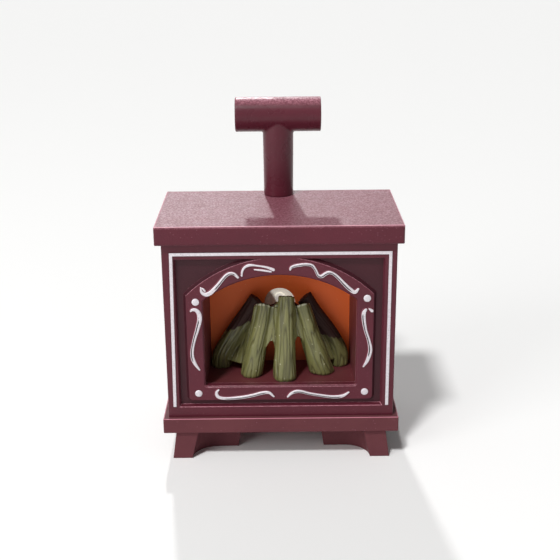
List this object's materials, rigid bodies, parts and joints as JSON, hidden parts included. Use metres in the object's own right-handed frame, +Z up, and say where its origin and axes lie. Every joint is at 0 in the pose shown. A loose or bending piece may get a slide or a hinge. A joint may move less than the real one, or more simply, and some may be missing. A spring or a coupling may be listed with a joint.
{
  "type": "dollhouse fireplace",
  "caption": "Toy wood stove for a doll's house: moulded casing with arched firebox, logs, lamp behind an orange panel, splayed feet, battery lid, slide switch and a turning tee chimney.",
  "frame": {"origin": "middle of the footprint on the ground, halfway along the whole width and depth", "axes": "+X to the right as seen from the front, +Y towards the back, +Z up along the chimney's stem"},
  "size_m": [0.075, 0.0436, 0.1099],
  "materials": {
    "maroon_plastic": "satin, fine sparkle",
    "silver_paint": "satin metallic paint",
    "firebox_plastic": "satin",
    "orange_plastic": "satin, lets light through",
    "olive_plastic": "moulded bark",
    "white_plastic": "satin",
    "lamp_glass": "clear",
    "lamp_brass": "dull",
    "black_plastic": "fine grain",
    "cell_can": "plain printed sleeve with bright ends",
    "spring_steel": "bright wire",
    "plated_steel": "nickel plated",
    "black_lead": "soft sleeve",
    "red_lead": "soft sleeve",
    "screw_steel": "zinc plated"
  },
  "bodies": {
    "casing": {"top_plate": "maroon_plastic", "body_shell": "maroon_plastic", "front_fascia": "maroon_plastic", "base_plinth": "maroon_plastic", "back_cover": "maroon_plastic", "silver_border": "silver_paint", "silver_studs": "silver_paint", "silver_scrolls": "silver_paint", "firebox_liner": "firebox_plastic", "glow_panel": "orange_plastic", "log_pile": "olive_plastic", "lamp_reflector": "white_plastic", "lamp_bulb": "lamp_glass", "lamp_ferrule": "lamp_brass", "battery_box": "black_plastic", "cell_lower": "cell_can", "cell_upper": "cell_can", "battery_springs": "spring_steel", "battery_link": "plated_steel", "contact_negative": "plated_steel", "contact_positive": "plated_steel", "switch_housing": "black_plastic", "switch_pads": "lamp_brass", "lead_negative": "black_lead", "lead_positive": "red_lead", "lead_switched": "black_lead", "fascia_screws": "screw_steel", "back_screws": "screw_steel", "box_screws": "screw_steel", "base_screws": "screw_steel"},
    "chimney": {"chimney": "maroon_plastic", "chimney_clip": "spring_steel"},
    "battery_lid": {"battery_lid": "maroon_plastic", "lid_screw": "screw_steel"},
    "switch_knob": {"switch_knob": "black_plastic", "switch_bridge": "plated_steel"}
  },
  "joints": [
    {"name": "chimney_swivel", "type": "hinge", "parent": "casing", "child": "chimney", "pos_m": [0, 0.01628, 0.0779], "axis": [0, 0, 1], "continuous": true},
    {"name": "battery_lid_hinge", "type": "hinge", "parent": "casing", "child": "battery_lid", "pos_m": [0, 0.01818, 0.0184], "axis": [-1, 0, 0], "range_deg": [0, 95]},
    {"name": "switch_slide", "type": "slide", "parent": "casing", "child": "switch_knob", "axis": [1, 0, 0], "range_m": [0, 0.003]}
  ]
}
